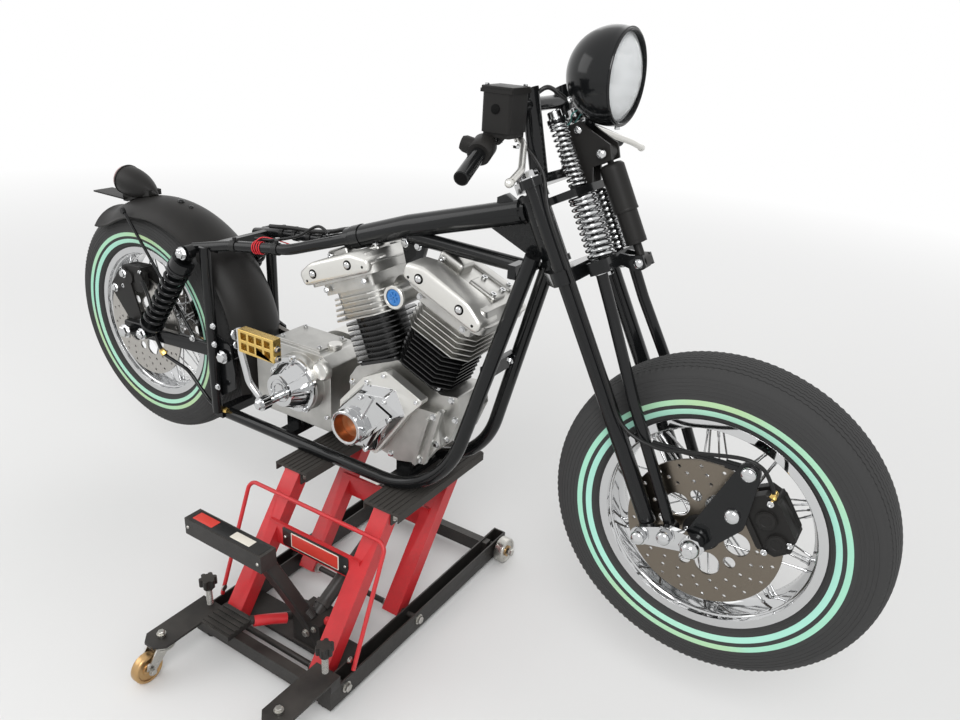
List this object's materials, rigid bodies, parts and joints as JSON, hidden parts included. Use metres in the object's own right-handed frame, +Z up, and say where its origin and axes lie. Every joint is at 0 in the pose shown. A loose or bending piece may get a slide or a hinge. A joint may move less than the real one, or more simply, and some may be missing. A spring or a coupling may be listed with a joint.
{
  "type": "chopper motorcycle on a scissor lift",
  "caption": "Bare chopper motorcycle with springer fork, twin-cylinder engine, kick starter and wire wheels, held on a scissor lift.",
  "frame": {"origin": "on the floor, midway between the two axles, in the motorcycle's centre plane", "axes": "+X forward, +Y to the rider's left, +Z up"},
  "size_m": [2.26, 0.9259, 1.4006],
  "materials": {
    "gloss_black": "gloss black paint",
    "satin_black": "satin black paint",
    "tyre_rubber": "ribbed tyre with pale green stripes",
    "chrome": "bright chrome",
    "disc_steel": "turned steel",
    "engine_alloy": "cast alloy",
    "polished_alloy": "polished alloy",
    "brass": "worn brass",
    "lamp_glass": "clear fluted glass",
    "lift_red": "red paint",
    "lift_black": "dusty black paint",
    "pad_rubber": "ribbed rubber",
    "zinc": "zinc plated",
    "caster_bronze": "bronze"
  },
  "bodies": {
    "root": {"frame_spine": "gloss_black", "frame_cradle": "gloss_black", "frame_rear": "gloss_black", "swingarm": "gloss_black", "right_rear_shock": "gloss_black", "left_rear_shock": "gloss_black", "rear_fender": "satin_black", "fender_struts": "gloss_black", "tail_lamp": "satin_black", "rear_caliper": "gloss_black", "crankcase": "engine_alloy", "cam_cover": "polished_alloy", "rear_barrel": "satin_black", "front_barrel": "satin_black", "rear_head": "engine_alloy", "front_head": "engine_alloy", "rear_rocker_box": "polished_alloy", "front_rocker_box": "polished_alloy", "gearbox": "engine_alloy", "kick_cover": "polished_alloy", "kick_arm": "chrome", "kick_pedal": "brass", "primary_cover": "polished_alloy", "drive_chain": "disc_steel", "lift_base": "lift_black", "lift_arms": "lift_red", "lift_pads": "pad_rubber", "lift_pump": "lift_black", "lift_safety_bar": "lift_red", "lift_release_pedal": "lift_black"},
    "fork": {"fork_rigid_legs": "gloss_black", "fork_spring_legs": "gloss_black", "fork_springs": "chrome", "fork_damper": "gloss_black", "damper_bracket": "gloss_black", "fork_rockers_and_axle": "gloss_black", "handlebar": "gloss_black", "master_cylinder": "gloss_black", "levers": "polished_alloy", "headlamp_bucket": "gloss_black", "headlamp_lens": "lamp_glass", "front_brake_bracket": "gloss_black", "front_caliper": "gloss_black"},
    "front_wheel": {"front_tyre": "tyre_rubber", "front_rim": "chrome", "front_hub_and_spokes": "chrome", "front_brake_disc": "disc_steel"},
    "rear_wheel": {"rear_tyre": "tyre_rubber", "rear_rim": "chrome", "rear_hub_and_spokes": "chrome", "rear_brake_disc": "disc_steel", "rear_sprocket": "disc_steel"},
    "lift_front_roller": {"lift_front_wheel": "zinc"},
    "lift_rear_roller": {"lift_rear_wheel": "zinc"},
    "caster_front": {"caster_front_fork": "zinc"},
    "caster_front_roller": {"caster_front_wheel": "caster_bronze"},
    "caster_rear": {"caster_rear_fork": "zinc"},
    "caster_rear_roller": {"caster_rear_wheel": "caster_bronze"}
  },
  "joints": [
    {"name": "steering", "type": "hinge", "parent": "root", "child": "fork", "pos_m": [0.369, 0, 1.065], "axis": [-0.4587, 0, 0.8886], "range_deg": [-35, 35]},
    {"name": "front_wheel_turn", "type": "hinge", "parent": "fork", "child": "front_wheel", "pos_m": [0.806, 0, 0.545], "axis": [0, 1, 0], "continuous": true},
    {"name": "rear_wheel_turn", "type": "hinge", "parent": "root", "child": "rear_wheel", "pos_m": [-0.806, 0, 0.545], "axis": [0, 1, 0], "continuous": true},
    {"name": "lift_front_roll", "type": "hinge", "parent": "root", "child": "lift_front_roller", "pos_m": [0.162, 0.262, 0.035], "axis": [1, 0, 0], "continuous": true},
    {"name": "caster_front_swivel", "type": "hinge", "parent": "root", "child": "caster_front", "pos_m": [0.162, -0.535, 0.08], "axis": [0, 0, 1], "continuous": true},
    {"name": "caster_front_roll", "type": "hinge", "parent": "caster_front", "child": "caster_front_roller", "pos_m": [0.162, -0.58, 0.035], "axis": [1, 0, 0], "continuous": true},
    {"name": "lift_rear_roll", "type": "hinge", "parent": "root", "child": "lift_rear_roller", "pos_m": [-0.202, 0.262, 0.035], "axis": [1, 0, 0], "continuous": true},
    {"name": "caster_rear_swivel", "type": "hinge", "parent": "root", "child": "caster_rear", "pos_m": [-0.202, -0.535, 0.08], "axis": [0, 0, 1], "continuous": true},
    {"name": "caster_rear_roll", "type": "hinge", "parent": "caster_rear", "child": "caster_rear_roller", "pos_m": [-0.202, -0.58, 0.035], "axis": [1, 0, 0], "continuous": true}
  ]
}
